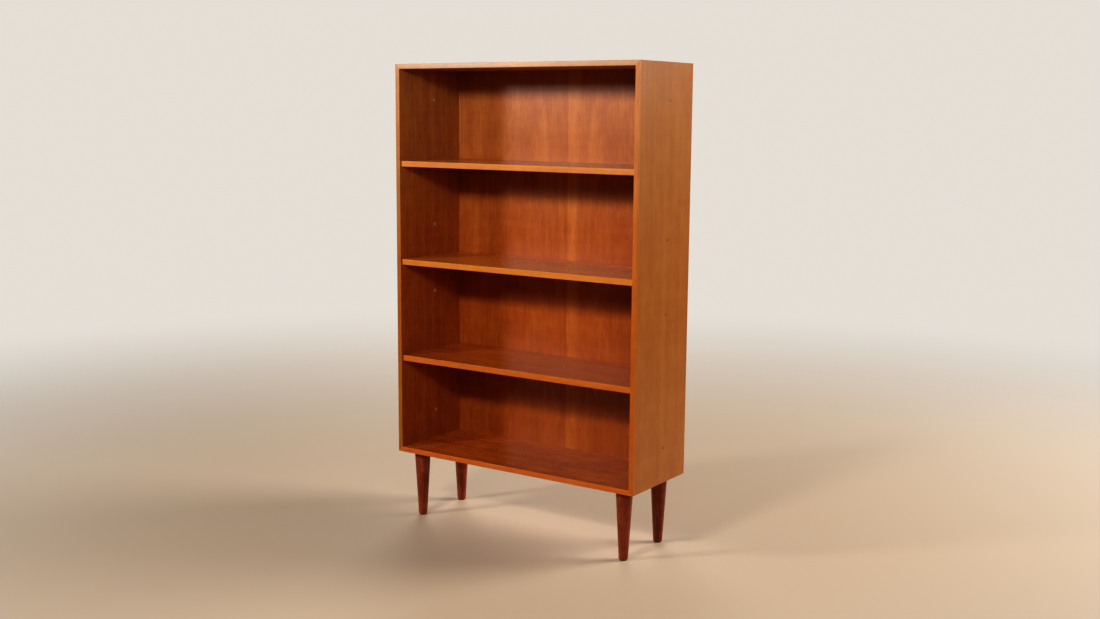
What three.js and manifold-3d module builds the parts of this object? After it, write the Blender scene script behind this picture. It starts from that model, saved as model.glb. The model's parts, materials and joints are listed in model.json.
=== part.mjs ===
// Bookcase with adjustable shelves: a mitred case on four tapered legs, a thin back set in a
// rebate, and three loose shelves that rest on push-in studs. Millimetres, +Z up, the open front
// faces -Y, and the origin is on the floor under the middle of the case.

import * as THREE from 'three';
import { mergeVertices } from 'three/addons/utils/BufferGeometryUtils.js';
import Module from 'manifold-3d';

const manifold = await Module();
manifold.setup();

// ---- Driving dimensions ----

const WIDTH = 800;
const DEPTH = 277;
const CASE_HEIGHT = 1120;
const LEG_HEIGHT = 195; // from the floor to the case, glide included
const BOARD = 14; // top, bottom and sides
const LIPPING = 5; // solid strip on every front edge
const JOINT_GAP = 0.3;

const BACK = 4;
const REBATE_DEPTH = 5;
const REBATE_WIDTH = 8;
const BACK_CLEARANCE = 0.5;

const SHELF = 16;
const SHELF_SPACING = 281; // centre to centre, the middle shelf at half the case's height
const SHELF_SETBACK = 5.5;
const SHELF_END_CLEARANCE = 1;
const SHELF_BACK_CLEARANCE = 1.5;

const STUD_RADIUS = 2.5;
const STUD_SHANK = 9.5;
const STUD_HEAD_RADIUS = 3.5;
const STUD_HEAD_LENGTH = 8;
const STUD_INSET = 46; // from the front and from the rear of the case
const STUD_STEP = 57; // to the spare holes above and below

const LINK_HOLE_RADIUS = 4; // through both sides, for joining a second case
const LINK_HOLE_SETBACK = 156;
const LINK_HOLE_OFFSETS = [-462, -99, 99, 462];
const PLUG_HEAD_RADIUS = 5;
const PLUG_HEAD_HEIGHT = 0.6;

const LEG_TOP_RADIUS = 23.5;
const LEG_TIP_RADIUS = 12.5;
const LEG_SIDE_INSET = 53;
const LEG_DEPTH_INSET = 46;

const GLIDE_HEIGHT = 3;
const GLIDE_RADIUS = 10;
const NAIL_RADIUS = 1.5;
const NAIL_LENGTH = 16;

const BOLT_RADIUS = 4;
const BOLT_IN_LEG = 38;
const BOLT_IN_CASE = 10.5;
const INSERT_RADIUS = 6;
const INSERT_LENGTH = 11.5;

const SPLINE_WIDTH = 12;
const SPLINE_THICKNESS = 3;
const SPLINE_INSET = 8; // from the inner corner, along the mitre
const SPLINE_STOP = 25; // short of the panel's front edge and of the rebate

// ---- Places worked out from them ----

const FRONT = -DEPTH / 2;
const REAR = DEPTH / 2;
const CASE_BOTTOM = LEG_HEIGHT;
const CASE_TOP = CASE_BOTTOM + CASE_HEIGHT;
const CASE_MIDDLE = (CASE_BOTTOM + CASE_TOP) / 2;
const INNER_HALF_WIDTH = WIDTH / 2 - BOARD;
const BOARD_FRONT = FRONT + LIPPING;
const REBATE_FLOOR = REAR - REBATE_DEPTH;

const SHELVES = [
  { name: 'lower', underside: CASE_MIDDLE - SHELF_SPACING - SHELF / 2 },
  { name: 'middle', underside: CASE_MIDDLE - SHELF / 2 },
  { name: 'upper', underside: CASE_MIDDLE + SHELF_SPACING - SHELF / 2 },
];
const STUD_COLUMNS = [
  { name: 'front', y: FRONT + STUD_INSET },
  { name: 'rear', y: REAR - STUD_INSET },
];
const STUD_POSITIONS = [-STUD_STEP, 0, STUD_STEP];
const LINK_HOLE_Y = FRONT + LINK_HOLE_SETBACK;

const LEG_X = WIDTH / 2 - LEG_SIDE_INSET;
const LEG_Y = DEPTH / 2 - LEG_DEPTH_INSET;
const LEG_PLACES = [
  { name: 'front_left', x: -LEG_X, y: -LEG_Y },
  { name: 'front_right', x: LEG_X, y: -LEG_Y },
  { name: 'rear_left', x: -LEG_X, y: LEG_Y },
  { name: 'rear_right', x: LEG_X, y: LEG_Y },
];

// ---- Materials ----

function surface(color, roughness, metalness = 0) {
  return new THREE.MeshStandardMaterial({ color, roughness, metalness });
}

const teakVeneer = surface(0xa5602f, 0.42);
const teakBack = surface(0x9c5527, 0.48);
const teakLipping = surface(0xc07238, 0.4);
const legTeak = surface(0x5c2416, 0.38);
const splineWood = surface(0xc9a574, 0.7);
const brass = surface(0xb8924a, 0.35, 1);
const zincSteel = surface(0x9a9ca0, 0.4, 1);
const plugPlastic = surface(0x8a5a3a, 0.35);
const glidePlastic = surface(0x4a2a18, 0.55);

// ---- Shape helpers ----

function toSolid(geometry) {
  const bare = geometry.clone();
  bare.deleteAttribute('normal');
  bare.deleteAttribute('uv');
  const merged = mergeVertices(bare);
  return new manifold.Manifold(new manifold.Mesh({
    numProp: 3,
    vertProperties: new Float32Array(merged.attributes.position.array),
    triVerts: new Uint32Array(merged.index.array),
  }));
}

function toGeometry(solid) {
  const mesh = solid.getMesh();
  const geometry = new THREE.BufferGeometry();
  geometry.setAttribute('position', new THREE.BufferAttribute(mesh.vertProperties, 3));
  geometry.setIndex(new THREE.BufferAttribute(mesh.triVerts, 1));
  geometry.computeVertexNormals();
  return geometry;
}

function cut(geometry, cutters) {
  let solid = toSolid(geometry);
  for (const cutter of cutters) {
    solid = solid.subtract(toSolid(cutter));
  }
  return toGeometry(solid);
}

function boxBetween(low, high) {
  const size = high.map((value, axis) => value - low[axis]);
  const middle = high.map((value, axis) => (value + low[axis]) / 2);
  return new THREE.BoxGeometry(...size).translate(...middle);
}

// A turned piece standing on z = 0, from [radius, height] points that start and end on its axis.
function turned(profile, sides) {
  const points = profile.map(([radius, height]) => new THREE.Vector2(radius, height));
  return new THREE.LatheGeometry(points, sides).rotateX(Math.PI / 2);
}

function drill(radius, low, high, sides) {
  return turned([[0, low], [radius, low], [radius, high], [0, high]], sides);
}

function addPiece(parent, name, geometry, material) {
  const mesh = new THREE.Mesh(geometry, material);
  mesh.name = name;
  parent.add(mesh);
  return mesh;
}

function addGroup(parent, position, turn = 0) {
  const group = new THREE.Group();
  group.position.set(...position);
  group.rotation.y = turn;
  parent.add(group);
  return group;
}

// ---- Case boards ----
// A board has a frame of its own: x along its length, the outer face at z = 0 and the inner face
// at z = BOARD. Both ends slope at 45 degrees, so four boards meet in mitred corners.

function mitredStrip(length, front, rear) {
  const outer = length / 2 - JOINT_GAP / 2;
  const inner = outer - BOARD;
  const outline = new THREE.Shape();
  outline.moveTo(-outer, 0);
  outline.lineTo(outer, 0);
  outline.lineTo(inner, BOARD);
  outline.lineTo(-inner, BOARD);
  outline.closePath();
  const strip = new THREE.ExtrudeGeometry(outline, { depth: rear - front, bevelEnabled: false });
  return strip.rotateX(Math.PI / 2).translate(0, rear, 0);
}

// The loose tongue across a mitre; end is -1 or 1, the end of the board that it sits in.
function splineAt(length, end, clearance) {
  const along = length / 2 - BOARD + SPLINE_INSET / Math.SQRT2;
  const above = BOARD - SPLINE_INSET / Math.SQRT2;
  const spline = new THREE.BoxGeometry(
    SPLINE_WIDTH + 2 * clearance,
    REBATE_FLOOR - BOARD_FRONT - 2 * SPLINE_STOP + 2 * clearance,
    SPLINE_THICKNESS + 2 * clearance,
  );
  return spline.rotateY(-end * Math.PI / 4).translate(end * along, 0, above);
}

function boardCutters(length) {
  const half = length / 2;
  return [
    boxBetween([-half, REBATE_FLOOR, BOARD - REBATE_WIDTH], [half, REAR + 1, BOARD + 1]),
    splineAt(length, -1, JOINT_GAP),
    splineAt(length, 1, JOINT_GAP),
  ];
}

// Adds a board and its solid front lipping, and gives back their group for what else it carries.
function addCaseBoard(name, length, place, turn, holes) {
  const board = addGroup(bookcase, place, turn);
  const panel = cut(mitredStrip(length, BOARD_FRONT, REAR), [...boardCutters(length), ...holes]);
  addPiece(board, name, panel, teakVeneer);
  addPiece(board, `${name}_lipping`, mitredStrip(length, FRONT, BOARD_FRONT), teakLipping);
  return board;
}

// left is the end of the board that lies on the left: -1, or 1 on the top, which is turned over.
function addSplines(board, name, left) {
  addPiece(board, `mitre_spline_${name}_left`, splineAt(WIDTH, left, 0), splineWood);
  addPiece(board, `mitre_spline_${name}_right`, splineAt(WIDTH, -left, 0), splineWood);
}

// ---- Sides, with their stud holes and link holes ----

function studHeight(shelf) {
  return shelf.underside - JOINT_GAP - STUD_HEAD_RADIUS;
}

function studHoles(alongBoard) {
  const radius = STUD_RADIUS + JOINT_GAP;
  const floor = BOARD - STUD_SHANK - JOINT_GAP;
  const holes = [];
  for (const shelf of SHELVES) {
    for (const step of STUD_POSITIONS) {
      for (const column of STUD_COLUMNS) {
        const hole = drill(radius, floor, BOARD + 1, 12);
        holes.push(hole.translate(alongBoard(studHeight(shelf) + step), column.y, 0));
      }
    }
  }
  return holes;
}

function linkHoles(alongBoard) {
  return LINK_HOLE_OFFSETS.map((offset) => {
    const hole = drill(LINK_HOLE_RADIUS, -1, BOARD + 1, 12);
    return hole.translate(alongBoard(CASE_MIDDLE + offset), LINK_HOLE_Y, 0);
  });
}

// A push-in stud, shank down the hole and head standing on the inner face.
function studGeometry() {
  const chamfer = 0.5;
  return turned([
    [0, -STUD_SHANK],
    [STUD_RADIUS, -STUD_SHANK],
    [STUD_RADIUS, 0],
    [STUD_HEAD_RADIUS, 0],
    [STUD_HEAD_RADIUS, STUD_HEAD_LENGTH - chamfer],
    [STUD_HEAD_RADIUS - chamfer, STUD_HEAD_LENGTH],
    [0, STUD_HEAD_LENGTH],
  ], 12);
}

// The plug fills a link hole and shows a thin round head on the inner face.
function plugGeometry() {
  const stem = LINK_HOLE_RADIUS - JOINT_GAP;
  return turned([
    [0, JOINT_GAP],
    [stem, JOINT_GAP],
    [stem, BOARD],
    [PLUG_HEAD_RADIUS, BOARD],
    [PLUG_HEAD_RADIUS - PLUG_HEAD_HEIGHT, BOARD + PLUG_HEAD_HEIGHT],
    [0, BOARD + PLUG_HEAD_HEIGHT],
  ], 12);
}

// hand is -1 for the left side and 1 for the right side.
function addSide(name, hand) {
  const alongBoard = (height) => hand * (height - CASE_MIDDLE);
  const place = [hand * WIDTH / 2, 0, CASE_MIDDLE];
  const turn = -hand * Math.PI / 2;
  const holes = [...studHoles(alongBoard), ...linkHoles(alongBoard)];
  const side = addCaseBoard(`${name}_side`, CASE_HEIGHT, place, turn, holes);
  LINK_HOLE_OFFSETS.forEach((offset, index) => {
    const plug = addPiece(side, `link_plug_${name}_${index + 1}`, plugGeometry(), plugPlastic);
    plug.position.set(alongBoard(CASE_MIDDLE + offset), LINK_HOLE_Y, 0);
  });
  for (const shelf of SHELVES) {
    for (const column of STUD_COLUMNS) {
      const stud = addPiece(side, `stud_${shelf.name}_${name}_${column.name}`, studGeometry(), brass);
      stud.position.set(alongBoard(studHeight(shelf)), column.y, BOARD);
    }
  }
}

// ---- Top, bottom and back ----

function insertHoles() {
  const radius = INSERT_RADIUS + JOINT_GAP;
  const depth = INSERT_LENGTH + 2 * JOINT_GAP;
  return LEG_PLACES.map(({ x, y }) => drill(radius, -1, depth, 12).translate(x, y, 0));
}

function addTopAndBottom() {
  const bottom = addCaseBoard('bottom_panel', WIDTH, [0, 0, CASE_BOTTOM], 0, insertHoles());
  const top = addCaseBoard('top_panel', WIDTH, [0, 0, CASE_TOP], Math.PI, []);
  addSplines(bottom, 'bottom', -1);
  addSplines(top, 'top', 1);
}

function addBack() {
  const reach = REBATE_WIDTH - BACK_CLEARANCE;
  const halfWidth = INNER_HALF_WIDTH + reach;
  const low = CASE_BOTTOM + BOARD - reach;
  const high = CASE_TOP - BOARD + reach;
  const panel = boxBetween([-halfWidth, REBATE_FLOOR, low], [halfWidth, REBATE_FLOOR + BACK, high]);
  addPiece(bookcase, 'back_panel', panel, teakBack);
}

// ---- Shelves ----

function addShelf({ name, underside }) {
  const shelf = addGroup(bookcase, [0, 0, underside]);
  const halfWidth = INNER_HALF_WIDTH - SHELF_END_CLEARANCE;
  const front = FRONT + SHELF_SETBACK;
  const joint = front + LIPPING;
  const rear = REBATE_FLOOR - SHELF_BACK_CLEARANCE;
  const board = boxBetween([-halfWidth, joint, 0], [halfWidth, rear, SHELF]);
  const lipping = boxBetween([-halfWidth, front, 0], [halfWidth, joint, SHELF]);
  addPiece(shelf, `shelf_${name}`, board, teakVeneer);
  addPiece(shelf, `shelf_${name}_lipping`, lipping, teakLipping);
}

// ---- Legs ----

// A tapered leg with a blind bore at the top for its bolt and a nail hole in the tip.
function legGeometry() {
  const edge = 1;
  const boltBore = BOLT_RADIUS + JOINT_GAP;
  const nailBore = NAIL_RADIUS + JOINT_GAP;
  const nailTop = GLIDE_HEIGHT + NAIL_LENGTH + JOINT_GAP;
  const boltFloor = LEG_HEIGHT - BOLT_IN_LEG - JOINT_GAP;
  return turned([
    [0, nailTop],
    [nailBore, nailTop],
    [nailBore, GLIDE_HEIGHT],
    [LEG_TIP_RADIUS - edge, GLIDE_HEIGHT],
    [LEG_TIP_RADIUS, GLIDE_HEIGHT + edge],
    [LEG_TOP_RADIUS, LEG_HEIGHT],
    [boltBore, LEG_HEIGHT],
    [boltBore, boltFloor],
    [0, boltFloor],
  ], 24);
}

// A nail-on glide: a round foot with its nail driven up into the leg.
function glideGeometry() {
  const edge = 1.2;
  const nailTip = GLIDE_HEIGHT + NAIL_LENGTH;
  return turned([
    [0, 0],
    [GLIDE_RADIUS - edge, 0],
    [GLIDE_RADIUS, edge],
    [GLIDE_RADIUS, GLIDE_HEIGHT],
    [NAIL_RADIUS, GLIDE_HEIGHT],
    [NAIL_RADIUS, nailTip - 2 * NAIL_RADIUS],
    [0, nailTip],
  ], 16);
}

// The threaded stud between leg and case, drawn at its outer thread diameter.
function boltGeometry() {
  const chamfer = 1;
  const low = LEG_HEIGHT - BOLT_IN_LEG;
  const high = LEG_HEIGHT + BOLT_IN_CASE;
  return turned([
    [0, low],
    [BOLT_RADIUS - chamfer, low],
    [BOLT_RADIUS, low + chamfer],
    [BOLT_RADIUS, high - chamfer],
    [BOLT_RADIUS - chamfer, high],
    [0, high],
  ], 12);
}

function insertGeometry() {
  const bore = BOLT_RADIUS + JOINT_GAP;
  const low = CASE_BOTTOM + JOINT_GAP;
  const high = low + INSERT_LENGTH;
  return turned([
    [bore, low],
    [INSERT_RADIUS, low],
    [INSERT_RADIUS, high],
    [bore, high],
    [bore, low],
  ], 12);
}

function addLeg({ name, x, y }) {
  const leg = addGroup(bookcase, [x, y, 0]);
  addPiece(leg, `leg_${name}`, legGeometry(), legTeak);
  addPiece(leg, `glide_${name}`, glideGeometry(), glidePlastic);
  addPiece(leg, `leg_bolt_${name}`, boltGeometry(), zincSteel);
  addPiece(leg, `leg_insert_${name}`, insertGeometry(), zincSteel);
}

// ---- Assembly ----

const bookcase = new THREE.Group();

addSide('left', -1);
addSide('right', 1);
addTopAndBottom();
addBack();
SHELVES.forEach(addShelf);
LEG_PLACES.forEach(addLeg);

export default bookcase;
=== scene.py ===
import json
import math

import bmesh
import bpy
from mathutils import Matrix, Vector


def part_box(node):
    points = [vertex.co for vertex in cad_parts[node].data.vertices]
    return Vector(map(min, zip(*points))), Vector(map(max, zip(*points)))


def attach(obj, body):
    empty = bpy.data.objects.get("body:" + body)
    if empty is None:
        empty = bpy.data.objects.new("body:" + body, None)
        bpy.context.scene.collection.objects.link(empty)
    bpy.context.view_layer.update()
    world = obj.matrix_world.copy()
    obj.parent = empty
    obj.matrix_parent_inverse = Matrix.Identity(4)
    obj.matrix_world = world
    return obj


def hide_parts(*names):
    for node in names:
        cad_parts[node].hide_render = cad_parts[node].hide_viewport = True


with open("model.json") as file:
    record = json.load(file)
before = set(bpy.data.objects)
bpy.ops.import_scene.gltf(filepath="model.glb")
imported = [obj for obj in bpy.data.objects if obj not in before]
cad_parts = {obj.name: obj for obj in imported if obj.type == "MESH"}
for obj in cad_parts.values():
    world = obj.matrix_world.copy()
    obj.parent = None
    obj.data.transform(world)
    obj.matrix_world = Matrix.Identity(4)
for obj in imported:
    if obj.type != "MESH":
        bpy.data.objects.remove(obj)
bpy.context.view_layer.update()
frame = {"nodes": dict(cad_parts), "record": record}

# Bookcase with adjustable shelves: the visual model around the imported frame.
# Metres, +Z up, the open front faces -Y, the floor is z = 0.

MM = 0.001
X, Y, Z = 0, 1, 2
HANDS = ("left", "right")
COLUMNS = ("front", "rear")
SHELVES = ("lower", "middle", "upper")

# ---- Sizes that the frame doesn't give ----

EASED_EDGE = 1.3 * MM  # arris taken off every exposed edge
SPARE_HOLE_STEP = 57 * MM  # spare stud holes above and below the one in use
STUD_HOLE_RADIUS = 2.75 * MM
HOLE_COUNTERSINK = 0.35 * MM
REBATE_WIDTH = 8 * MM
STUD_SHANK_RADIUS = 2.5 * MM
STUD_SHANK_LENGTH = 9.5 * MM
STUD_HOLE_EXTRA = 0.5 * MM  # depth of a stud hole beyond the shank
PLUG_STEM_RADIUS = 3.7 * MM
PLUG_DOME = 0.6 * MM
LINK_NUMBERS = range(1, 5)  # the link holes of one side, from the floor up
LINK_CUT_DEPTH = 30 * MM  # more than a side is thick, so that the hole goes through
LEG_TIP_RADIUS = 12.5 * MM
LEG_TIP_ROUNDING = 1.8 * MM
GLIDE_ROUNDING = 1.2 * MM
PIN_HEAD_RADIUS = 1.5 * MM
PIN_HEAD_HEIGHT = 0.6 * MM
PIN_INSET = 4 * MM  # from the edges of the back
PIN_SPACING = 92 * MM

# ---- Camera and stage ----

CAMERA_AZIMUTH = math.radians(34.22)
CAMERA_ELEVATION = math.radians(8.59)
CAMERA_ROLL = math.radians(0.45)
CAMERA_TARGET = Vector((0.0404, 0.0, 0.6391))
CAMERA_DISTANCE = 3.648
CAMERA_LENS = 42.72  # for a 36 mm sensor
FLOOR_RADIUS = 4.4
FLOOR_FADE = 0.6  # the floor is solid this far from the middle, then fades out
FLOOR_COLOUR = (0.54, 0.42, 0.305)
WARM_WHITE = (1.0, 0.97, 0.93)
SURROUNDINGS = (1.0, 0.945, 0.88)
SURROUNDINGS_LIGHT = 0.043
SURROUNDINGS_SEEN = 0.57


# ---- Mesh helpers ----


def close(a, b):
    return abs(a - b) < 1e-6


def prism(outline, front, rear):
    """A solid with a polygon of (x, z) corners for its section, from front to rear along y."""
    bm = bmesh.new()
    near, far = ([bm.verts.new((x, y, z)) for x, z in outline] for y in (front, rear))
    bm.faces.new(near)
    bm.faces.new(far)
    for i in range(len(outline)):
        j = (i + 1) % len(outline)
        bm.faces.new((near[i], near[j], far[j], far[i]))
    bmesh.ops.recalc_face_normals(bm, faces=bm.faces)
    return bm


def block(low, high):
    corners = [(low.x, low.z), (high.x, low.z), (high.x, high.z), (low.x, high.z)]
    return prism(corners, low.y, high.y)


def ease(bm, is_exposed, width=EASED_EDGE):
    """Rounds over the edges whose two ends pass the test is_exposed(a, b)."""
    edges = [e for e in bm.edges if is_exposed(e.verts[0].co, e.verts[1].co)]
    bmesh.ops.bevel(bm, geom=edges, offset=width, segments=3, profile=0.5, affect="EDGES")
    return bm


def lathe(profile, segments):
    """A solid turned about z from (radius, height) points that start and end on the axis."""
    bm = bmesh.new()
    rings = []
    for radius, height in profile:
        if radius == 0:
            rings.append([bm.verts.new((0, 0, height))] * segments)
            continue
        turns = [2 * math.pi * i / segments for i in range(segments)]
        ring = [bm.verts.new((radius * math.cos(t), radius * math.sin(t), height)) for t in turns]
        rings.append(ring)
    for low, high in zip(rings, rings[1:]):
        for i in range(segments):
            j = (i + 1) % segments
            corners = list(dict.fromkeys((low[i], low[j], high[j], high[i])))
            bm.faces.new(corners)
    bmesh.ops.recalc_face_normals(bm, faces=bm.faces)
    return bm


def rounded_corner(radius, height, rounding, start, steps=4):
    """Points of a quarter round on a lathe profile, starting at the angle start, in degrees."""
    points = []
    for i in range(steps + 1):
        angle = math.radians(start + 90 * i / steps)
        points.append((radius + rounding * math.cos(angle), height + rounding * math.sin(angle)))
    return points


def add_object(name, bm):
    mesh = bpy.data.meshes.new(name)
    bm.to_mesh(mesh)
    bm.free()
    piece = bpy.data.objects.new(name, mesh)
    bpy.context.scene.collection.objects.link(piece)
    return piece


def carve(piece, cutters):
    """Cuts the cutter objects out of the piece and removes them."""
    for cutter in cutters:
        modifier = piece.modifiers.new("cut", "BOOLEAN")
        modifier.operation = "DIFFERENCE"
        modifier.solver = "EXACT"
        modifier.object = cutter
    depsgraph = bpy.context.evaluated_depsgraph_get()
    whole = piece.data
    piece.data = bpy.data.meshes.new_from_object(piece.evaluated_get(depsgraph))
    piece.modifiers.clear()
    bpy.data.meshes.remove(whole)
    for cutter in cutters:
        bpy.data.objects.remove(cutter)


def shade(piece, sharp_angle=40):
    """Smooth shading that stays crisp at edges sharper than the angle, with flat faces kept flat."""
    piece.data.shade_smooth()
    bm = bmesh.new()
    bm.from_mesh(piece.data)
    limit = math.radians(sharp_angle)
    for edge in bm.edges:
        edge.smooth = len(edge.link_faces) == 2 and edge.calc_face_angle() < limit
    bm.to_mesh(piece.data)
    bm.free()
    modifier = piece.modifiers.new("weighted_normals", "WEIGHTED_NORMAL")
    modifier.keep_sharp = True


# ---- Bodies, slots and pieces ----

BODY_OF = {
    node: body
    for body, nodes in frame["record"]["behaviour"]["bodies"].items()
    for node in nodes
}


def stand_in(piece, node, *materials):
    """The piece takes a CAD node's place: it joins the node's body, and the node is hidden."""
    for material in materials:
        piece.data.materials.append(material)
    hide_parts(node)
    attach(piece, BODY_OF[node])
    return piece


# ---- Materials ----


class Shader:
    """Adds nodes to one material, so that a recipe reads as a chain of calls."""

    def __init__(self, name):
        self.material = bpy.data.materials.new(name)
        self.material.use_nodes = True
        self.tree = self.material.node_tree
        self.bsdf = self.tree.nodes["Principled BSDF"]

    def node(self, kind, inputs, **settings):
        node = self.tree.nodes.new(kind)
        for key, value in settings.items():
            setattr(node, key, value)
        for socket, value in inputs.items():
            if isinstance(value, bpy.types.NodeSocket):
                self.tree.links.new(value, node.inputs[socket])
            else:
                node.inputs[socket].default_value = value
        return node

    def math(self, operation, a, b=0.0, c=0.0):
        return self.node("ShaderNodeMath", {0: a, 1: b, 2: c}, operation=operation).outputs[0]

    def vector(self, x, y, z):
        return self.node("ShaderNodeCombineXYZ", {"X": x, "Y": y, "Z": z}).outputs[0]

    def noise(self, vector, detail=2.0, roughness=0.5):
        inputs = {"Vector": vector, "Scale": 1.0, "Detail": detail, "Roughness": roughness}
        return self.node("ShaderNodeTexNoise", inputs).outputs[0]

    def noise_1d(self, position, detail=2.0, roughness=0.5):
        inputs = {"W": position, "Scale": 1.0, "Detail": detail, "Roughness": roughness}
        return self.node("ShaderNodeTexNoise", inputs, noise_dimensions="1D").outputs[0]

    def rescale(self, value, low, high, to_low=0.0, to_high=1.0):
        inputs = {"Value": value, 1: low, 2: high, 3: to_low, 4: to_high}
        return self.node("ShaderNodeMapRange", inputs, interpolation_type="SMOOTHSTEP").outputs[0]

    def ramp(self, value, stops):
        node = self.node("ShaderNodeValToRGB", {"Fac": value})
        elements = node.color_ramp.elements
        while len(elements) < len(stops):
            elements.new(0.5)
        for element, (position, colour) in zip(elements, stops):
            element.position = position
            element.color = (*colour, 1.0)
        return node.outputs[0]

    def mix(self, factor, a, b, blend="MIX"):
        node = self.tree.nodes.new("ShaderNodeMix")
        node.data_type = "RGBA"
        node.blend_type = blend
        for socket, value in ((0, factor), (6, a), (7, b)):
            if isinstance(value, bpy.types.NodeSocket):
                self.tree.links.new(value, node.inputs[socket])
            else:
                node.inputs[socket].default_value = value if socket == 0 else (*value, 1.0)
        return node.outputs[2]

    def connect(self, socket, value):
        self.tree.links.new(value, self.bsdf.inputs[socket])

    def bump(self, height, strength, distance):
        inputs = {"Height": height, "Strength": strength, "Distance": distance}
        self.connect("Normal", self.node("ShaderNodeBump", inputs).outputs[0])


# Wood colours from dark through middling to light growth.
VENEER = ((0.170, 0.048, 0.010), (0.350, 0.124, 0.029), (0.500, 0.210, 0.062))
INNER_VENEER = ((0.190, 0.036, 0.006), (0.430, 0.106, 0.016), (0.600, 0.190, 0.040))
SHELF_VENEERS = {
    "lower": ((0.190, 0.034, 0.004), (0.440, 0.104, 0.014), (0.620, 0.200, 0.038)),
    "middle": ((0.240, 0.060, 0.009), (0.500, 0.146, 0.021), (0.670, 0.245, 0.052)),
    "upper": ((0.240, 0.060, 0.009), (0.500, 0.146, 0.021), (0.670, 0.245, 0.052)),
}
BOTTOM_VENEER = ((0.160, 0.024, 0.003), (0.445, 0.098, 0.012), (0.640, 0.200, 0.036))
BACK_VENEER = ((0.160, 0.026, 0.004), (0.357, 0.080, 0.0105), (0.540, 0.174, 0.033))
LIPPING_TEAK = ((0.300, 0.080, 0.009), (0.540, 0.175, 0.020), (0.660, 0.260, 0.045))
LEG_WOOD = ((0.080, 0.012, 0.004), (0.215, 0.036, 0.011), (0.340, 0.080, 0.028))
PLY = ((0.280, 0.140, 0.065), (0.480, 0.265, 0.135), (0.600, 0.385, 0.220))
# Paler colour for rounded arrises: partly wear, partly a painted highlight of the arrises catching
# the light.
ARRIS_WEAR_AND_HIGHLIGHT = (0.62, 0.34, 0.17)
# Painted highlight: the colour that upper parts pale towards, standing in for the lamps' sheen and
# the stronger light up high.
PAINTED_TOP_LIGHT = (0.43, 0.200, 0.072)
TOP_LIGHT_FROM = 0.60  # heights between which the painted highlight sets in
TOP_LIGHT_TO = 1.30
SCARF_SLOPE = 0.35
SCARF_X = -0.211  # where the bottom lipping is joined end to end
SEAM_X = 0.008  # where the two leaves of the back's veneer meet
LEAF_PITH = 0.180  # from the seam to the pith of each leaf
SEAM_STRIP = (18 * MM, 50 * MM)  # the paler strip beyond the seam fades out between these


def grain_frame(shader, grain, place):
    """Object coordinates sorted into along, across and through the grain, moved by the place."""
    coordinates = shader.node("ShaderNodeTexCoord", {}).outputs["Object"]
    split = shader.node("ShaderNodeSeparateXYZ", {0: coordinates})
    return [
        shader.math("ADD", split.outputs["XYZ".index(axis)], shift)
        for axis, shift in zip(grain, place)
    ]


def arris_wear_highlight_mask(shader):
    """1 on rounded arrises and 0 on flat faces, broken up by noise: where arrises are paled, partly
    for wear and partly as a painted highlight of them catching the light.
    """
    normal = shader.node("ShaderNodeTexCoord", {}).outputs["Normal"]
    flatness = shader.node("ShaderNodeVectorMath", {0: normal}, operation="ABSOLUTE").outputs[0]
    split = shader.node("ShaderNodeSeparateXYZ", {0: flatness})
    largest = shader.math("MAXIMUM", split.outputs[0], split.outputs[1])
    largest = shader.math("MAXIMUM", largest, split.outputs[2])
    rounded = shader.rescale(largest, 0.985, 0.85)
    coordinates = shader.node("ShaderNodeTexCoord", {}).outputs["Object"]
    spots = shader.node("ShaderNodeVectorMath", {0: coordinates, "Scale": 24.0}, operation="SCALE")
    patchy = shader.rescale(shader.noise(spots.outputs[0], detail=3.0), 0.35, 0.65, 0.25, 1.0)
    return shader.math("MULTIPLY", rounded, patchy)


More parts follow.
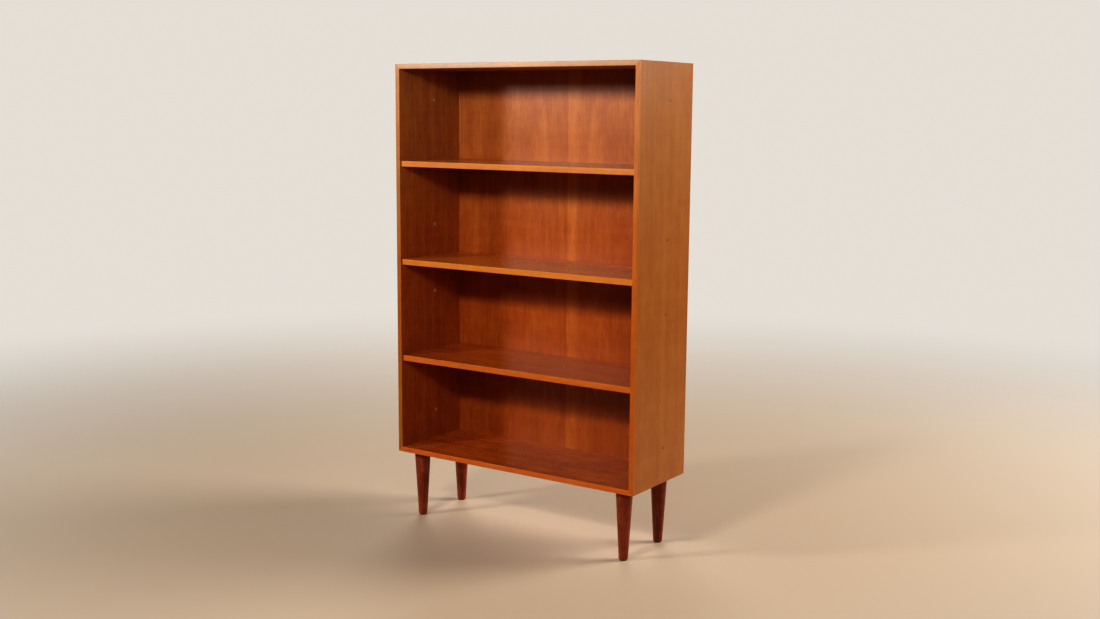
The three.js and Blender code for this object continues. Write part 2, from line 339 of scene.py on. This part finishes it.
def teak(name, grain, place, palette, tilt=0.02, figure=1.0, roughness=0.30, gloss=0.16,
         leaves=None, scarf=None, pale_arrises=True, painted_top_light=0.55):
    """Satin teak. grain names the axes along, across and through the board, such as "ZYX".
    The figure is a slice through growth rings about a pith, at a slope of tilt to it, and place
    is where the board lies in that log. leaves=(seam, pith) book-matches two leaves of veneer at
    the seam, each with its pith that far from it. scarf is where a strip is joined end to end.
    painted_top_light is how far the colour pales towards PAINTED_TOP_LIGHT at TOP_LIGHT_TO, a painted
    highlight for the lamps' sheen and stronger light up high; below TOP_LIGHT_FROM it is unchanged.
    Frequencies are per metre, along the grain and then across it."""
    shader = Shader(name)
    along, across, through = grain_frame(shader, grain, place)
    upright = grain.index("Z")
    height = shader.math("SUBTRACT", (along, across, through)[upright], place[upright])
    if leaves is not None:
        seam, pith = leaves
        beyond_seam = shader.math("SUBTRACT", across, seam)
        across = shader.math("SUBTRACT", shader.math("ABSOLUTE", beyond_seam), pith)

    def stretched(lengthwise, crosswise):
        return shader.vector(
            shader.math("MULTIPLY", along, lengthwise),
            shader.math("MULTIPLY", across, crosswise),
            shader.math("MULTIPLY", through, crosswise),
        )

    def vary(tone, pattern, amount):
        centred = shader.math("SUBTRACT", pattern, 0.5)
        return shader.math("MULTIPLY_ADD", centred, amount * figure, tone)

    wander = shader.math("MULTIPLY_ADD", shader.noise(stretched(2.2, 7.0)), 0.044, -0.022)
    ripple = shader.math("MULTIPLY_ADD", shader.noise(stretched(16.0, 60.0)), 0.0030, -0.0015)
    sideways = shader.math("ADD", across, wander)
    upward = shader.math("MULTIPLY_ADD", along, tilt, through)
    squared = shader.math("MULTIPLY_ADD", upward, upward, shader.math("MULTIPLY", sideways, sideways))
    radius = shader.math("ADD", shader.math("SQRT", squared), ripple)

    zones = shader.noise_1d(shader.math("MULTIPLY", radius, 42.0), detail=3.0, roughness=0.6)
    uneven = shader.noise_1d(shader.math("MULTIPLY", radius, 55.0), detail=2.0)
    turns = shader.math("MULTIPLY_ADD", radius, 150.0, shader.math("MULTIPLY", uneven, 5.0))
    late_wood = shader.math("POWER", shader.math("FRACT", turns), 4.0)
    bands = shader.noise(stretched(1.1, 30.0), detail=2.0)
    streaks = shader.noise(stretched(6.0, 210.0), detail=3.0, roughness=0.6)
    flecks = shader.noise(stretched(32.0, 150.0), detail=2.0)
    fibre = shader.noise(stretched(26.0, 1100.0), detail=2.0, roughness=0.6)
    mottle = shader.noise(stretched(13.0, 26.0), detail=3.0, roughness=0.55)
    crossfire = shader.noise(stretched(60.0, 8.0), detail=1.0)
    cloud = shader.noise(stretched(1.7, 5.0), detail=2.0)
    pore = shader.rescale(shader.noise(stretched(110.0, 2000.0), detail=1.0), 0.58, 0.70)

    tone = 0.5
    for pattern, amount in (
        (zones, 0.34), (bands, 0.42), (streaks, 0.40), (fibre, 0.40),
        (flecks, 0.42), (mottle, 0.42), (crossfire, 0.20), (cloud, 0.36),
    ):
        tone = vary(tone, pattern, amount)
    if leaves is not None:
        inner_edge = shader.rescale(beyond_seam, -0.4 * MM, 0.4 * MM)
        outer_edge = shader.rescale(beyond_seam, *SEAM_STRIP, 1.0, 0.0)
        strip = shader.math("MULTIPLY", inner_edge, outer_edge)
        tone = shader.math("MULTIPLY_ADD", strip, 0.22, tone)
    tone = shader.math("MULTIPLY_ADD", late_wood, -0.08 * figure, tone)
    tone = shader.math("MULTIPLY_ADD", pore, -0.10, tone)
    dark, middle, light = palette
    colour = shader.ramp(tone, [(0.0, dark), (0.5, middle), (1.0, light)])
    # Painted highlight: paler towards the top, standing in for the lamps' sheen and stronger light up
    # high.
    top_light_share = shader.rescale(height, TOP_LIGHT_FROM, TOP_LIGHT_TO, 0.0, painted_top_light)
    top_light_colours = [tuple(share * channel for channel in PAINTED_TOP_LIGHT) for share in (0.5, 1.5)]
    colour = shader.mix(top_light_share, colour, shader.mix(tone, *top_light_colours))
    golden = shader.rescale(mottle, 0.45, 0.75, 0.0, 0.35)
    colour = shader.mix(golden, colour, (1.04, 1.16, 0.90), blend="MULTIPLY")
    if scarf is not None:
        beyond = shader.math("SUBTRACT", shader.math("SUBTRACT", along, place[0]), scarf)
        sloping = shader.math("MULTIPLY_ADD", through, SCARF_SLOPE, beyond)
        line = shader.rescale(shader.math("ABSOLUTE", sloping), 0.3 * MM, 0.9 * MM, 0.75, 0.0)
        colour = shader.mix(line, colour, palette[0], blend="MULTIPLY")
    sheen = shader.math("MULTIPLY_ADD", cloud, 0.10, roughness - 0.05)
    # Paler arrises: partly wear, partly a painted highlight where the eased edges catch the light.
    if pale_arrises:
        wear_and_highlight = arris_wear_highlight_mask(shader)
        colour = shader.mix(shader.math("MULTIPLY", wear_and_highlight, 0.40), colour, ARRIS_WEAR_AND_HIGHLIGHT)
        sheen = shader.math("MULTIPLY_ADD", wear_and_highlight, -0.06, sheen)
    shader.connect("Base Color", colour)
    shader.bsdf.inputs["Specular IOR Level"].default_value = gloss
    shader.connect("Roughness", shader.math("MULTIPLY_ADD", pore, 0.15, sheen))
    relief = shader.math("SUBTRACT", shader.math("MULTIPLY", fibre, 0.35), pore)
    shader.bump(relief, 0.25, 0.12 * MM)
    return shader.material


def metal(name, colour, roughness):
    shader = Shader(name)
    shader.bsdf.inputs["Metallic"].default_value = 1.0
    coordinates = shader.node("ShaderNodeTexCoord", {}).outputs["Object"]
    scaled = shader.node("ShaderNodeVectorMath", {0: coordinates, "Scale": 900.0}, operation="SCALE")
    grime = shader.noise(scaled.outputs[0], detail=3.0)
    tarnished = tuple(0.55 * channel for channel in colour)
    shader.connect("Base Color", shader.mix(shader.rescale(grime, 0.45, 0.8), colour, tarnished))
    shader.connect("Roughness", shader.math("MULTIPLY_ADD", grime, 0.2, roughness - 0.1))
    return shader.material


def plastic(name, colour, roughness):
    shader = Shader(name)
    coordinates = shader.node("ShaderNodeTexCoord", {}).outputs["Object"]
    scaled = shader.node("ShaderNodeVectorMath", {0: coordinates, "Scale": 1500.0}, operation="SCALE")
    speckle = shader.noise(scaled.outputs[0], detail=2.0)
    paler = tuple(1.25 * channel for channel in colour)
    shader.connect("Base Color", shader.mix(speckle, colour, paler))
    shader.connect("Roughness", shader.math("MULTIPLY_ADD", speckle, 0.12, roughness - 0.06))
    shader.bump(speckle, 0.1, 0.05 * MM)
    return shader.material


# ---- Case boards ----

# The axis across each board, and the direction along it from the outer face to the inner one.
CASE_BOARDS = {
    "left_side": (X, 1),
    "right_side": (X, -1),
    "bottom_panel": (Z, 1),
    "top_panel": (Z, -1),
}


def mitred_board(node, inward, joint):
    """A board or lipping with 45 degree ends. inward is the axis and direction from its outer face
    to its inner face, and joint is the y of the glue line between board and lipping."""
    low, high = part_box(node)
    thick, direction = inward
    run = X if thick == Z else Z
    outer, inner = (low[thick], high[thick]) if direction > 0 else (high[thick], low[thick])
    depth = high[thick] - low[thick]
    corners = [
        (outer, low[run]),
        (outer, high[run]),
        (inner, high[run] - depth),
        (inner, low[run] + depth),
    ]
    outline = corners if thick == X else [(b, a) for a, b in corners]
    front_face = low.y

    def is_exposed(a, b):
        if close(a.y, joint) and close(b.y, joint):
            return False
        on_outer = close(a[thick], outer) and close(b[thick], outer)
        on_inner = close(a[thick], inner) and close(b[thick], inner)
        return on_outer or (on_inner and close(a.y, front_face) and close(b.y, front_face))

    return ease(prism(outline, low.y, high.y), is_exposed)


def rebate_cutter(node, inward):
    """The step along the rear inner edge that the back panel sits in."""
    low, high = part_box(node)
    thick, direction = inward
    back_low, back_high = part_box("back_panel")
    cut_low, cut_high = low.copy(), high.copy()
    run = X if thick == Z else Z
    cut_low[run], cut_high[run] = low[run] - MM, high[run] + MM
    cut_low.y, cut_high.y = back_low.y, high.y + MM
    if direction > 0:
        cut_low[thick] = high[thick] - REBATE_WIDTH
        cut_high[thick] = high[thick] + MM
    else:
        cut_low[thick] = low[thick] - MM
        cut_high[thick] = low[thick] + REBATE_WIDTH
    return add_object(f"{node}_rebate_cutter", block(cut_low, cut_high))


def hole_cutter(name, place, inward_x, radius, depth):
    """A drill with a slight countersink at the face that it enters; it points away from inward_x."""
    mouth = radius + HOLE_COUNTERSINK
    bm = lathe([(0, -depth), (radius, -depth), (radius, -HOLE_COUNTERSINK), (mouth, 0),
                (mouth, MM), (0, MM)], segments=48)
    turn = Matrix.Rotation(math.pi / 2 * inward_x, 4, "Y")
    bm.transform(Matrix.Translation(place) @ turn)
    return add_object(name, bm)


def side_hole_cutters(hand, inner_x, inward_x):
    """Stud holes, spare holes and link holes of one side."""
    cutters = []
    for shelf in SHELVES:
        for column in COLUMNS:
            low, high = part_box(f"stud_{shelf}_{hand}_{column}")
            centre = (low + high) / 2
            for step in (-SPARE_HOLE_STEP, 0, SPARE_HOLE_STEP):
                place = Vector((inner_x, centre.y, centre.z + step))
                depth = STUD_SHANK_LENGTH + STUD_HOLE_EXTRA
                cutters.append(hole_cutter("stud_hole", place, inward_x, STUD_HOLE_RADIUS, depth))
    for number in LINK_NUMBERS:
        low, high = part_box(f"link_plug_{hand}_{number}")
        centre = (low + high) / 2
        place = Vector((inner_x, centre.y, centre.z))
        cutters.append(hole_cutter("link_hole", place, inward_x, PLUG_STEM_RADIUS, LINK_CUT_DEPTH))
    return cutters


def make_case_board(node, inward, board_material, lipping_material):
    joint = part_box(node)[0].y
    board = add_object(node + "_board", mitred_board(node, inward, joint))
    cutters = [rebate_cutter(node, inward)]
    low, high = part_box(node)
    if inward[0] == X:
        inner_x = high.x if inward[1] > 0 else low.x
        cutters += side_hole_cutters(node.split("_")[0], inner_x, inward[1])
    carve(board, cutters)
    shade(board)
    stand_in(board, node, board_material)
    lipping = add_object(node + "_edge_strip", mitred_board(node + "_lipping", inward, joint))
    shade(lipping)
    stand_in(lipping, node + "_lipping", lipping_material)


def lipping_wood(name, grain, place, depth, red, gloss=0.40, scarf=None):
    """Solid teak; depth below 1 makes the strip darker, and red makes it redder above 0
    and yellower and paler below 0."""
    tint = (depth, depth * (1 - red), depth * (1 - red) ** 2)
    palette = [
        tuple(channel * share for channel, share in zip(colour, tint))
        for colour in LIPPING_TEAK
    ]
    return teak(name, grain, place, palette, figure=0.6, roughness=0.33, gloss=gloss, scarf=scarf)


def make_case():
    left_edge = lipping_wood("lipping_left", "ZYX", (0.3, 0.21, 0.30), depth=0.63, red=0.10)
    right_edge = lipping_wood("lipping_right", "ZYX", (1.9, 0.21, -0.30), depth=0.81, red=0.22,
                              gloss=0.28)
    # The top strip's paler, pinker tint (red below 0) is a painted highlight of the lamps' haze on
    # it; its gloss adds real reflection as well.
    top_edge = lipping_wood("lipping_top", "XYZ", (2.6, 0.26, -1.40), depth=0.61, red=-0.25,
                            gloss=0.72)
    bottom_edge = lipping_wood("lipping_bottom", "XYZ", (1.1, 0.26, 0.22), depth=0.93, red=0.31,
                               scarf=SCARF_X)
    left = teak("left_side_veneer", "ZYX", (0.2, 0.35, 0.46), INNER_VENEER, figure=0.8)
    right = teak("right_side_veneer", "ZYX", (3.1, 0.30, -0.36), VENEER, figure=0.45, gloss=0.17,
                 painted_top_light=0.35)
    bottom = teak("bottom_veneer", "XYZ", (0.9, 0.35, -0.12), BOTTOM_VENEER, figure=1.3,
                  roughness=0.25, gloss=0.26)
    top = teak("top_veneer", "XYZ", (2.4, 0.12, -1.25), VENEER, figure=0.9, roughness=0.42,
               painted_top_light=0.35)
    make_case_board("left_side", CASE_BOARDS["left_side"], left, left_edge)
    make_case_board("right_side", CASE_BOARDS["right_side"], right, right_edge)
    make_case_board("bottom_panel", CASE_BOARDS["bottom_panel"], bottom, bottom_edge)
    make_case_board("top_panel", CASE_BOARDS["top_panel"], top, top_edge)


# ---- Back ----


def make_back():
    low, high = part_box("back_panel")
    back = add_object("back_board", block(low, high))
    front = teak("back_veneer", "ZXY", (-0.55, 0.0, -0.07), BACK_VENEER, tilt=0.12, figure=0.74,
                 gloss=0.33, leaves=(SEAM_X, LEAF_PITH), painted_top_light=0.35)
    rear = teak("back_ply", "ZXY", (0.7, 0.4, 0.12), PLY, tilt=0.05, roughness=0.7, painted_top_light=0.0)
    stand_in(back, "back_panel", front, rear)
    for face in back.data.polygons:
        face.material_index = 0 if face.normal.y < -0.5 else 1


def make_back_pins():
    """The small pins that hold the back in its rebate, along all four edges."""
    low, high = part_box("back_panel")
    head = [(0, -0.3 * MM), (PIN_HEAD_RADIUS, -0.3 * MM), (PIN_HEAD_RADIUS, 0.2 * MM)]
    head += [(0.6 * PIN_HEAD_RADIUS, 0.5 * MM), (0, PIN_HEAD_HEIGHT)]
    places = []
    for run, cross in ((X, Z), (Z, X)):
        length = high[run] - low[run] - 2 * PIN_INSET
        count = round(length / PIN_SPACING)
        for i in range(1, count):
            for side in (low[cross] + PIN_INSET, high[cross] - PIN_INSET):
                place = Vector((0, high.y, 0))
                place[run] = low[run] + PIN_INSET + length * i / count
                place[cross] = side
                places.append(place)
    pins = bmesh.new()
    for place in places:
        pin = lathe(head, segments=16)
        pin.transform(Matrix.Translation(place) @ Matrix.Rotation(-math.pi / 2, 4, "X"))
        mesh = bpy.data.meshes.new("pin")
        pin.to_mesh(mesh)
        pin.free()
        pins.from_mesh(mesh)
        bpy.data.meshes.remove(mesh)
    piece = add_object("back_pins", pins)
    shade(piece)
    piece.data.materials.append(metal("pin_steel", (0.42, 0.40, 0.37), 0.4))
    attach(piece, "case")


# ---- Shelves ----

# Depth and red of each shelf's lipping.
SHELF_EDGES = {"lower": (0.93, 0.20), "middle": (1.02, -0.06), "upper": (1.08, 0.0)}


def make_shelf(shelf, number):
    node = f"shelf_{shelf}"
    low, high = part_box(node)
    strip_low, strip_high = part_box(node + "_lipping")

    def board_exposed(a, b):
        return not (close(a.y, low.y) or close(b.y, low.y))

    def strip_exposed(a, b):
        return close(a.y, strip_low.y) and close(b.y, strip_low.y)

    board = add_object(node + "_board", ease(block(low, high), board_exposed))
    shade(board)
    offset = (0.5 + 1.7 * number, 0.16 + 0.07 * number, -high.z - 0.02)
    veneer = teak(f"shelf_veneer_{shelf}", "XYZ", offset, SHELF_VENEERS[shelf], tilt=0.015,
                  figure=1.1, roughness=0.25, gloss=0.33)
    stand_in(board, node, veneer)
    strip = add_object(node + "_edge_strip", ease(block(strip_low, strip_high), strip_exposed))
    shade(strip)
    offset = (0.2 + 0.9 * number, 0.3, 0.1)
    depth, red = SHELF_EDGES[shelf]
    edge = lipping_wood(f"shelf_lipping_{shelf}", "XYZ", offset, depth, red, gloss=0.33)
    stand_in(strip, node + "_lipping", edge)


# ---- Studs and plugs ----


def make_stud(node, inward_x, brass):
    low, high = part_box(node)
    centre = (low + high) / 2
    head_radius = (high.z - low.z) / 2
    length = high.x - low.x
    head_length = length - STUD_SHANK_LENGTH
    rounding = 0.5 * MM
    profile = [(0, -STUD_SHANK_LENGTH), (STUD_SHANK_RADIUS - rounding, -STUD_SHANK_LENGTH)]
    profile += [(STUD_SHANK_RADIUS, rounding - STUD_SHANK_LENGTH), (STUD_SHANK_RADIUS, 0)]
    profile += [(head_radius - 0.2 * MM, 0), (head_radius, 0.2 * MM)]
    profile += rounded_corner(head_radius - rounding, head_length - rounding, rounding, 0)
    profile += [(0, head_length)]
    bm = lathe(profile, segments=32)
    shoulder_x = low.x + STUD_SHANK_LENGTH if inward_x > 0 else high.x - STUD_SHANK_LENGTH
    place = Vector((shoulder_x, centre.y, centre.z))
    bm.transform(Matrix.Translation(place) @ Matrix.Rotation(math.pi / 2 * inward_x, 4, "Y"))
    piece = add_object(node + "_brass", bm)
    shade(piece)
    stand_in(piece, node, brass)


def make_plug(node, inward_x, cap, stem_end_shade):
    """A cap on the inner face; outside, the end of its stem closes the hole, coloured near black as
    painted shade of an open hole.
    """
    low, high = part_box(node)
    centre = (low + high) / 2
    head_radius = (high.z - low.z) / 2
    stem = high.x - low.x - PLUG_DOME
    profile = [(0, -stem), (PLUG_STEM_RADIUS - 0.3 * MM, -stem)]
    profile += [(PLUG_STEM_RADIUS - 0.1 * MM, 0.2 * MM - stem), (PLUG_STEM_RADIUS - 0.1 * MM, 0)]
    profile += [(head_radius, 0)]
    for share in (0.85, 0.6, 0.3):
        profile.append((head_radius * share, PLUG_DOME * (1 - share**3)))
    profile += [(0, PLUG_DOME)]
    bm = lathe(profile, segments=40)
    face_x = high.x - PLUG_DOME if inward_x > 0 else low.x + PLUG_DOME
    place = Vector((face_x, centre.y, centre.z))
    bm.transform(Matrix.Translation(place) @ Matrix.Rotation(math.pi / 2 * inward_x, 4, "Y"))
    piece = add_object(node + "_cap", bm)
    shade(piece)
    stand_in(piece, node, cap, stem_end_shade)
    for face in piece.data.polygons:
        face.material_index = 1 if face.normal.x * inward_x < -0.9 else 0


def make_small_fittings():
    brass = metal("brass", (0.74, 0.52, 0.22), 0.3)
    cap = plastic("cap_plastic", (0.50, 0.30, 0.13), 0.25)
    # Near-black stem end: painted shade, the look of an open hole in the side.
    stem_end_shade = plastic("stem_painted_shade", (0.080, 0.028, 0.010), 0.50)
    for hand, inward_x in zip(HANDS, (1, -1)):
        for shelf in SHELVES:
            for column in COLUMNS:
                make_stud(f"stud_{shelf}_{hand}_{column}", inward_x, brass)
        for number in LINK_NUMBERS:
            make_plug(f"link_plug_{hand}_{number}", inward_x, cap, stem_end_shade)


# ---- Legs ----


def make_leg(place_name, number, glide_material):
    low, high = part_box(f"leg_{place_name}")
    centre = (low + high) / 2
    top_radius = (high.x - low.x) / 2
    rounding = LEG_TIP_ROUNDING
    profile = [(0, low.z)]
    profile += rounded_corner(LEG_TIP_RADIUS - rounding, low.z + rounding, rounding, -90)
    profile += [(top_radius - 0.1 * MM, high.z - 0.6 * MM), (top_radius - 0.7 * MM, high.z)]
    profile += [(0, high.z)]
    leg = add_object(f"leg_{place_name}_turned", lathe(profile, segments=64))
    leg.data.transform(Matrix.Translation((centre.x, centre.y, 0)))
    shade(leg)
    offset = (0.4 * number, 0.035 - centre.y, 0.012 - centre.x)
    wood = teak(f"leg_wood_{place_name}", "ZYX", offset, LEG_WOOD, tilt=0.03, figure=1.6,
                gloss=0.30, pale_arrises=False)
    stand_in(leg, f"leg_{place_name}", wood)

    low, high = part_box(f"glide_{place_name}")
    radius = (high.x - low.x) / 2
    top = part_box(f"leg_{place_name}")[0].z
    rounding = GLIDE_ROUNDING
    profile = [(0, 0)] + rounded_corner(radius - rounding, rounding, rounding, -90)
    profile += [(radius, top), (0, top)]
    glide = add_object(f"glide_{place_name}_foot", lathe(profile, segments=48))
    glide.data.transform(Matrix.Translation((centre.x, centre.y, 0)))
    shade(glide)
    stand_in(glide, f"glide_{place_name}", glide_material)


def make_legs():
    brown = plastic("glide_plastic", (0.070, 0.022, 0.008), 0.55)
    for number, place_name in enumerate(f"{c}_{h}" for c in COLUMNS for h in HANDS):
        make_leg(place_name, number, brown)


def finish_hidden_pieces():
    """Splines, bolts and inserts stay as the CAD has them, inside the boards and legs."""
    steel = metal("zinc_steel", (0.55, 0.56, 0.58), 0.35)
    beech = teak("spline_wood", "YXZ", (0.1, 0.2, 0.3), PLY, roughness=0.7, painted_top_light=0.0)
    for node, piece in frame["nodes"].items():
        if node.startswith(("leg_bolt", "leg_insert")):
            material = steel
        elif node.startswith("mitre_spline"):
            material = beech
        else:
            continue
        piece.data.materials.clear()
        piece.data.materials.append(material)


# ---- Stage, light and camera ----


def make_floor():
    """A plain pale floor that fades into the surroundings far from the object."""
    bm = bmesh.new()
    bmesh.ops.create_circle(bm, cap_ends=True, radius=FLOOR_RADIUS, segments=96)
    floor = add_object("floor", bm)
    shader = Shader("pale_floor")
    shader.bsdf.inputs["Base Color"].default_value = (*FLOOR_COLOUR, 1.0)
    shader.bsdf.inputs["Roughness"].default_value = 0.7
    place = shader.node("ShaderNodeTexCoord", {}).outputs["Object"]
    reach = shader.node("ShaderNodeVectorMath", {0: place}, operation="LENGTH").outputs["Value"]
    solid = shader.rescale(reach, FLOOR_FADE, FLOOR_RADIUS, 1.0, 0.0)
    shader.connect("Alpha", solid)
    floor.data.materials.append(shader.material)


def add_light(name, place, target, size, power, colour):
    data = bpy.data.lights.new(name, "AREA")
    data.shape = "DISK"
    data.size = size
    data.energy = power
    data.color = colour
    light = bpy.data.objects.new(name, data)
    bpy.context.scene.collection.objects.link(light)
    light.location = place
    light.rotation_mode = "QUATERNION"
    light.rotation_quaternion = (Vector(target) - Vector(place)).to_track_quat("-Z", "Y")


def make_lights():
    """Two soft lamps in front, one of them off to the left, and three weaker or larger fills:
    one in front on the right, one behind on the right and one behind on the left."""
    middle = (0, 0, 0.75)
    add_light("front_lamp", (0.16, -2.60, 1.94), (0, 0, 2.90), 0.42, 50, WARM_WHITE)
    add_light("left_lamp", (-2.15, -2.90, 1.92), middle, 0.55, 47, WARM_WHITE)
    add_light("right_fill", (3.1, 2.6, 2.5), (0, 0, 1.3), 2.4, 170, WARM_WHITE)
    add_light("front_fill", (2.1, -2.4, 1.9), (0, 0, 1.2), 1.6, 14, WARM_WHITE)
    add_light("rear_fill", (-2.6, 3.4, 2.2), middle, 2.5, 50, WARM_WHITE)


def make_world():
    """Pale surroundings; they light the object less than they look, as a dim studio does."""
    world = bpy.data.worlds.new("studio")
    bpy.context.scene.world = world
    world.use_nodes = True
    tree = world.node_tree
    tree.nodes.clear()
    output = tree.nodes.new("ShaderNodeOutputWorld")
    switch = tree.nodes.new("ShaderNodeMixShader")
    path = tree.nodes.new("ShaderNodeLightPath")
    for slot, strength in ((1, SURROUNDINGS_LIGHT), (2, SURROUNDINGS_SEEN)):
        background = tree.nodes.new("ShaderNodeBackground")
        background.inputs["Color"].default_value = (*SURROUNDINGS, 1.0)
        background.inputs["Strength"].default_value = strength
        tree.links.new(background.outputs[0], switch.inputs[slot])
    tree.links.new(path.outputs["Is Camera Ray"], switch.inputs[0])
    tree.links.new(switch.outputs[0], output.inputs["Surface"])


def make_camera():
    azimuth, elevation = CAMERA_AZIMUTH, CAMERA_ELEVATION
    back = Vector((
        math.sin(azimuth) * math.cos(elevation),
        -math.cos(azimuth) * math.cos(elevation),
        math.sin(elevation),
    ))
    data = bpy.data.cameras.new("camera")
    data.lens = CAMERA_LENS
    data.sensor_width = 36.0
    camera = bpy.data.objects.new("camera", data)
    bpy.context.scene.collection.objects.link(camera)
    camera.location = CAMERA_TARGET + back * CAMERA_DISTANCE
    level = back.to_track_quat("Z", "Y").to_matrix().to_4x4()
    camera.rotation_mode = "QUATERNION"
    camera.rotation_quaternion = (level @ Matrix.Rotation(CAMERA_ROLL, 4, "Z")).to_quaternion()
    bpy.context.scene.camera = camera


make_camera()
make_case()
make_back()
make_back_pins()
for shelf_number, shelf_name in enumerate(SHELVES):
    make_shelf(shelf_name, shelf_number)
make_small_fittings()
make_legs()
finish_hidden_pieces()
make_floor()
make_lights()
make_world()
bpy.context.scene.view_settings.view_transform = "Standard"
bpy.context.scene.view_settings.look = "High Contrast"
